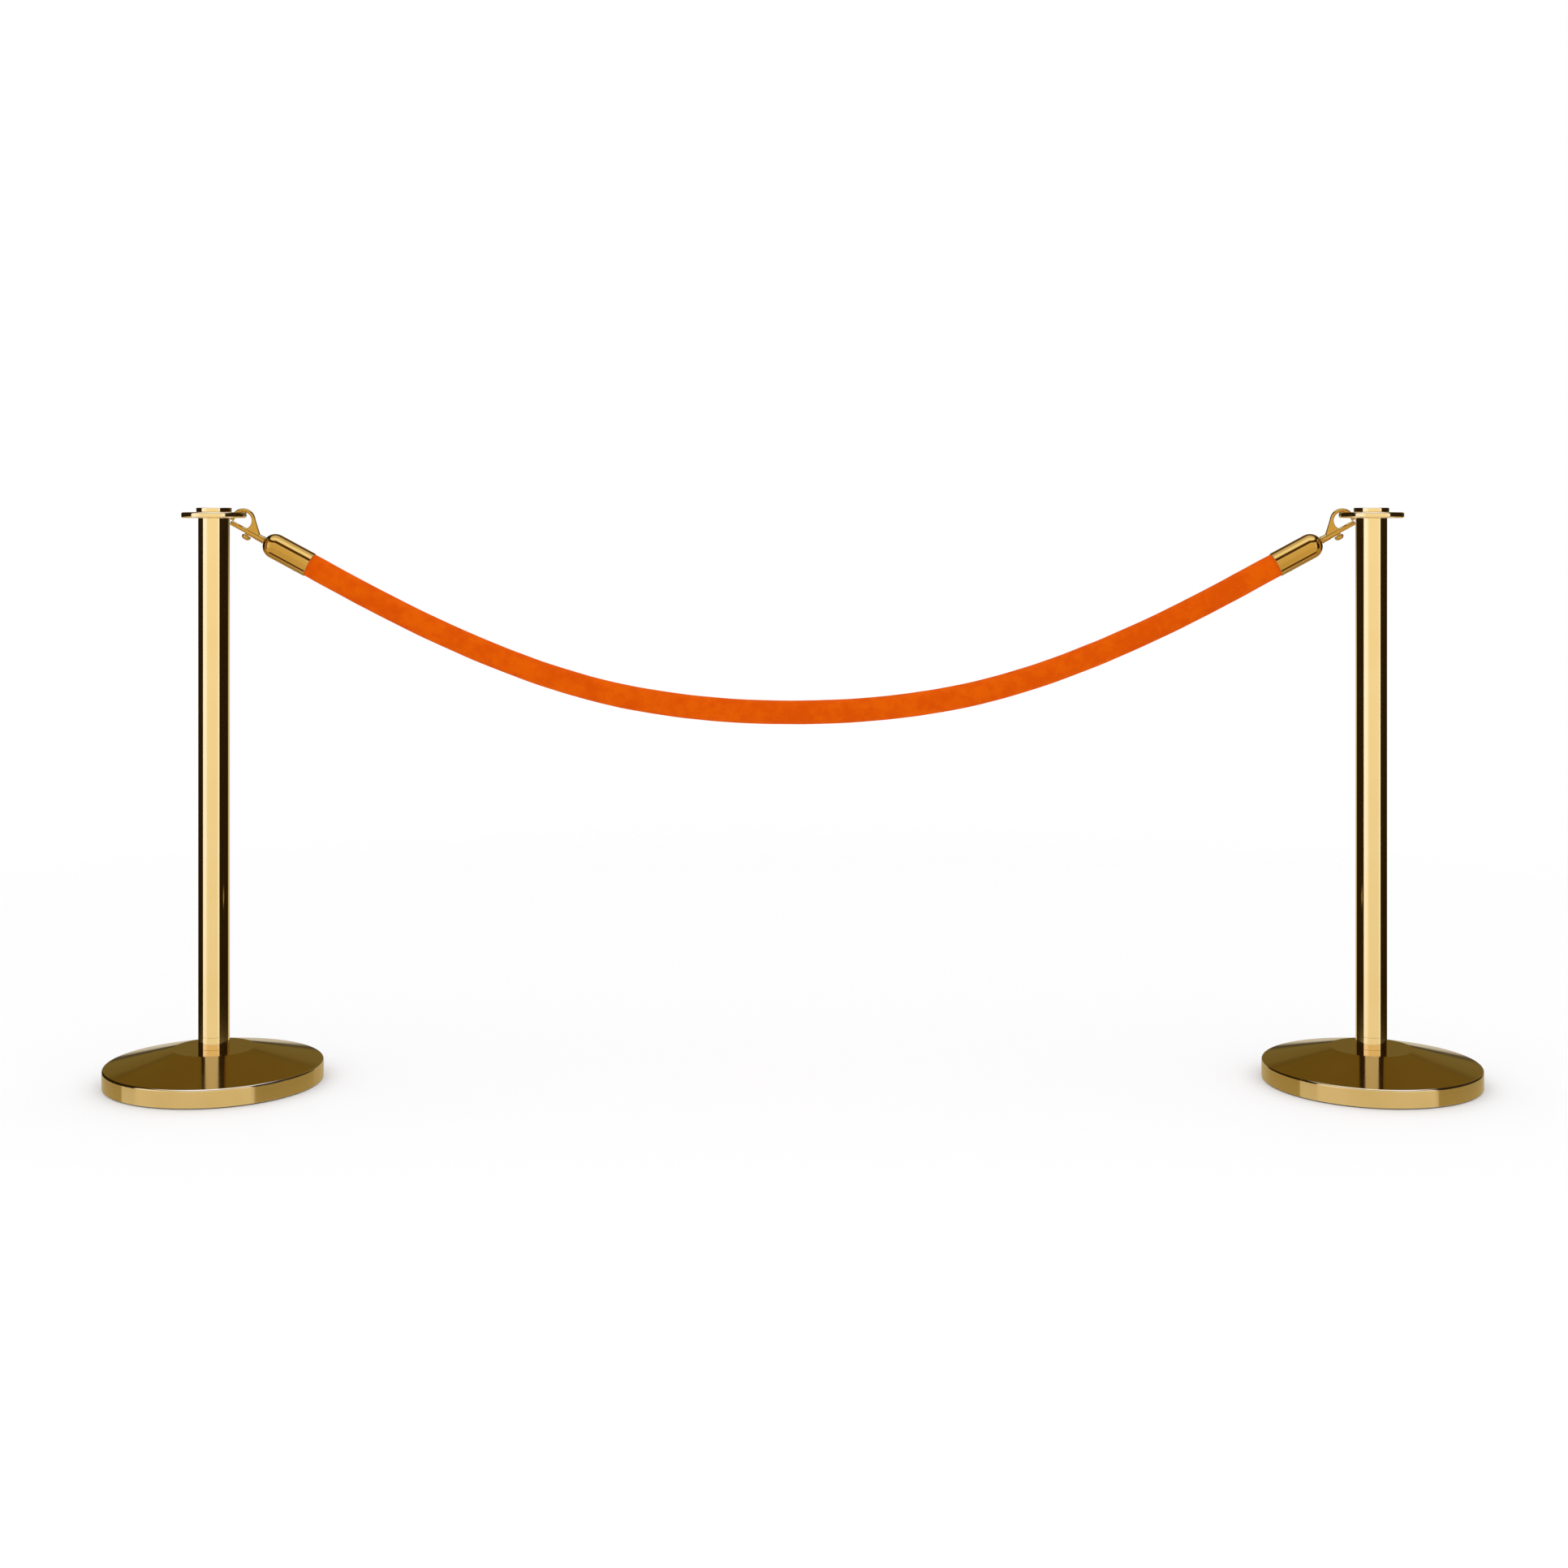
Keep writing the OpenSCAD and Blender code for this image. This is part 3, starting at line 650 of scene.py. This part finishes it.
def make_end(side):
    """The cap, hook, bolt, spring and bound end of one end of the rope."""
    place = end_place(side)
    turned_gold = polished(side + "_turned_gilt", place, GOLD, GOLD_DEEP, SPUN, (0.05, 0.09))
    cast_gold = polished(side + "_cast_gilt", place, GOLD, GOLD_DEEP, CAST, (0.09, 0.14))
    cap_body, bolt_body = side + "_cap", side + "_bolt"

    low, high = local_box(side + "_end_cap", place)
    cap_r, wall, hole_r = high[0], 1.25 * MM, 5 * MM
    dome_z, mouth_edge = 65 * MM, 0.45 * MM

    def dome(radius, first, last, steps):
        arc = np.linspace(first, last, steps + 1)
        return [(radius * math.cos(a), dome_z + radius * math.sin(a), 0) for a in arc]

    inner_r = cap_r - wall
    cap = turned(side + "_domed_cap", [
        (cap_r, low[2], mouth_edge),
        *dome(cap_r, 0, math.acos(hole_r / cap_r), 40),
        *dome(inner_r, math.acos(hole_r / inner_r), 0, 24),
        (inner_r, low[2], mouth_edge)], place, segments=160)
    settle(cap, turned_gold, cap_body, side + "_end_cap")

    low, high = local_box(side + "_hook_bolt", place)
    bolt_r, chamfer, rod_edge = high[1], 1.2 * MM, 0.3 * MM
    bolt = turned(side + "_bolt_rod", [
        (0, high[2], 0), (bolt_r - chamfer, high[2], rod_edge),
        (bolt_r, high[2] - chamfer, rod_edge),
        (bolt_r, low[2], rod_edge), (0, low[2], 0)], place, segments=64, loop=False)
    settle(bolt, cast_gold, bolt_body, side + "_hook_bolt")

    hook = cast_copy(side + "_cast_hook", side + "_hook_body", 0.3 * MM, 7)
    settle(hook, cast_gold, ROOT, side + "_hook_body")

    low, high = local_box(side + "_rope_end", place)
    bound_r, low_z, high_z = high[1], low[2], high[2]
    whipping_turns, turn_steps = 14, 6
    twine, clear = 0.9 * MM, 3 * MM  # the twine's thickness, and its distance from both ends
    whipping = [(0, low_z, 0), (bound_r - 2.2 * MM, low_z, 0),
        (bound_r - 1.2 * MM, low_z + 1 * MM, 0)]
    for share in np.linspace(0, 1, whipping_turns * turn_steps + 1):
        swell = abs(math.sin(math.pi * whipping_turns * share))
        whipping.append((bound_r - twine + twine * swell,
            low_z + clear + (high_z - low_z - 2 * clear) * share, 0))
    whipping += [(bound_r - 2 * MM, high_z - 1 * MM, 0), (bound_r - 4 * MM, high_z, 0),
        (0, high_z, 0)]
    bound = turned(side + "_bound_end", whipping, place, segments=96, loop=False)
    settle(bound, cotton, cap_body, side + "_rope_end")

    for node in ("thumb_knob", "cap_pins"):
        dress(side + "_" + node, cast_gold)
    dress(side + "_swivel_bush", turned_gold)
    for node in ("swivel_washer", "swivel_nut"):
        dress(side + "_" + node, zinc)

    low, high = local_box(side + "_bolt_spring", place)
    wire_r = 0.36 * MM
    coil_r = high[1] - wire_r
    coils, coil_steps = 8, 32
    share = np.linspace(0, 1, coils * coil_steps + 1)
    angle = 2 * math.pi * coils * share
    line = np.stack([coil_r * np.cos(angle), coil_r * np.sin(angle),
        low[2] + wire_r + (high[2] - low[2] - 2 * wire_r) * share], axis=1)
    mesh = sweep_mesh(side + "_spring", line, lambda s, a: wire_r + 0 * s * a, (1, 0, 0), 12)
    spring = finish_mesh(side + "_spring", mesh, place, sharp=80)
    settle(spring, spring_steel, ROOT, side + "_bolt_spring")
    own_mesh(spring)


for side in SIDES:
    make_post(side)
    make_end(side)

# The photo's posts show no rope, cap or hook in their polish, so reflections leave those out
ROPE_PARTS = ("cap", "bound_end", "bolt_", "hook", "knob", "swivel", "spring", "core")
for piece in bpy.data.objects:
    if any(word in piece.name for word in ROPE_PARTS) and "cap_disc" not in piece.name:
        piece.visible_glossy = False


# ---------- studio ----------

def make_floor():
    """A pale disc that fades into the background."""
    radius, fade_from, fade_to = 5, 2.0, 4.6
    bpy.ops.mesh.primitive_circle_add(vertices=128, radius=radius, fill_type="NGON",
        location=(0, 0, -0.2 * MM))
    floor = bpy.context.object
    floor.name = "studio_floor"
    made, tree, shader = start("pale_floor")
    vector = put(tree, "TexCoord").outputs["Object"]
    distance = put(tree, "VectorMath", {0: vector}, operation="LENGTH").outputs["Value"]
    shader.inputs["Base Color"].default_value = rgba(0.99, 0.99, 0.99)
    shader.inputs["Roughness"].default_value = 0.6
    tree.links.new(remap(tree, distance, fade_from, fade_to, 1, 0, smooth=True),
        shader.inputs["Alpha"])
    floor.data.materials.append(made)
    floor.visible_glossy = False


def make_flag():
    """A narrow dark card midway, so that neither post shows the other one as a bright line.
    Only reflections see it."""
    half_width, low, high = 30 * MM, 60 * MM, 955 * MM
    mesh = bpy.data.meshes.new("studio_flag")
    mesh.from_pydata([(0, -half_width, low), (0, half_width, low), (0, half_width, high),
        (0, -half_width, high)], [], [(0, 1, 2, 3)])
    flag = bpy.data.objects.new("studio_flag", mesh)
    scene.collection.objects.link(flag)
    made, tree, shader = start("flag_cloth")
    vector = put(tree, "TexCoord").outputs["Object"]
    weave = pattern(tree, vector, 400.0)
    tree.links.new(mix(tree, weave, rgba(0.0, 0.0, 0.0), rgba(0.002, 0.001, 0.001)),
        shader.inputs["Base Color"])
    shader.inputs["Specular IOR Level"].default_value = 0.0
    shader.inputs["Emission Color"].default_value = FLAG
    shader.inputs["Emission Strength"].default_value = 1.0
    flag.data.materials.append(made)
    flag.visible_camera = flag.visible_diffuse = flag.visible_shadow = False


# The panels that polished metal reflects: colour, azimuths, elevations and softness of the
# edges, in degrees. Azimuth 0 is the viewer's side and 90 the right; a later panel covers the
# earlier ones.
ALL_ROUND, STEEP, LOW = (-200, 200), (-100, -42), -13.2
ROOM = rgba(0.03, 0.02, 0.01)
PALE_BACK, RIM_LIGHT = rgba(0.62, 0.57, 0.45), rgba(0.52, 0.45, 0.26)
DARK_STRIPE, BRIGHT_STRIPE = rgba(0.1, 0.07, 0.03), rgba(1.35, 1.6, 3.2)
SECOND_STRIPE = rgba(1.7, 2.4, 6.0)
PANELS = [
    # dim bands of the room above the horizon
    (rgba(0.195, 0.148, 0.04), ALL_ROUND, (4, 22), 3),
    (rgba(0.172, 0.116, 0.018), ALL_ROUND, (22, 53), 3),
    (rgba(0.12, 0.065, 0.011), (-75, 75), (30, 55), 3),
    # the wide front panel, its calmer foot, its top edge and its two brighter sides
    (rgba(1.0, 0.98, 0.91), (-85, 70), (-100, 35), 1.5),
    (rgba(0.89, 0.87, 0.78), (-60, 50), (-100, -6), 6),
    (rgba(1.02, 1.1, 1.4), (-50, 50), (24, 35), 1.5),
    (rgba(1.2, 1.27, 1.68), (-95, -40), (-13, 34), 11),
    (rgba(1.08, 1.13, 1.4), (42, 75), (-13, 34), 5),
    # the dark flags on both sides of it
    (FLAG, (54, 130), (-90, 55), 1),
    (FLAG, (-150, -72), (-90, 55), 1),
    # the pale walls behind
    (PALE_BACK, (142, 200), (-90, -1), 3),
    (PALE_BACK, (-200, -150), (-90, -1), 3),
    # the light below the horizon, for the covers' rims
    (RIM_LIGHT, (54, 200), (-100, LOW), 0.1),
    (RIM_LIGHT, (-200, -72), (-100, LOW), 0.1),
    (rgba(0.9, 0.87, 0.8), (-94, 57), (-40, LOW), 0.1),
    # steeply below: the dark and the bright stripes along the caps
    (DARK_STRIPE, (56, 83), STEEP, 3),
    (DARK_STRIPE, (-83, -56), STEEP, 3),
    (BRIGHT_STRIPE, (83, 110), STEEP, 4),
    (BRIGHT_STRIPE, (-110, -83), STEEP, 4),
    # overhead, and brighter on the viewer's side
    (rgba(0.95, 1.1, 1.8), ALL_ROUND, (57, 100), 3),
    (rgba(1.45, 1.85, 3.3), (-90, 90), (57, 100), 4),
]
# Laid over those for a ray that has been reflected twice, as by a cover and then by its tube
SECOND_PANELS = [
    (rgba(0.7, 0.84, 1.35), (-72, 54), (28, 60), 3),
    (SECOND_STRIPE, (80, 113), STEEP, 4),
    (SECOND_STRIPE, (-113, -80), STEEP, 4),
]


def make_world():
    """Soft panels by direction for reflections, a soft white dome for everything else's light,
    and a plain white background for the camera itself."""
    world = bpy.data.worlds.new("studio")
    world.use_nodes = True
    scene.world = world
    tree = world.node_tree
    tree.nodes.clear()
    parts = put(tree, "SeparateXYZ", {0: put(tree, "TexCoord").outputs["Generated"]}).outputs
    azimuth = maths(tree, "ARCTAN2", parts[0], maths(tree, "MULTIPLY", parts[1], -1.0))
    elevation = maths(tree, "ARCSINE", parts[2])

    def band(value, low, high, soft):
        rise = remap(tree, value, math.radians(low - soft), math.radians(low + soft), 0, 1, True)
        fall = remap(tree, value, math.radians(high - soft), math.radians(high + soft), 1, 0, True)
        return maths(tree, "MULTIPLY", rise, fall)

    def lay(below, panels):
        for colour, azimuths, elevations, soft in panels:
            part = maths(tree, "MULTIPLY", band(azimuth, *azimuths, soft),
                band(elevation, *elevations, soft))
            below = mix(tree, part, below, colour)
        return below

    light = lay(ROOM, PANELS)
    ray = put(tree, "LightPath").outputs
    twice = maths(tree, "GREATER_THAN", ray["Ray Depth"], 2.5)
    light = mix(tree, twice, light, lay(light, SECOND_PANELS))
    height = remap(tree, elevation, math.radians(-20), math.radians(60), 0, 1, True)
    dome = mix(tree, height, rgba(0.95, 0.95, 0.95), rgba(1.12, 1.12, 1.12))
    colour = mix(tree, ray["Is Glossy Ray"], dome, light)
    colour = mix(tree, ray["Is Camera Ray"], colour, rgba(1, 1, 1))
    shine = put(tree, "Background", {"Color": colour, "Strength": 1.0})
    output = put(tree, "OutputWorld", {"Surface": shine.outputs[0]})
    output.is_active_output = True


make_floor()
make_flag()
make_world()
scene.view_settings.view_transform = "Standard"
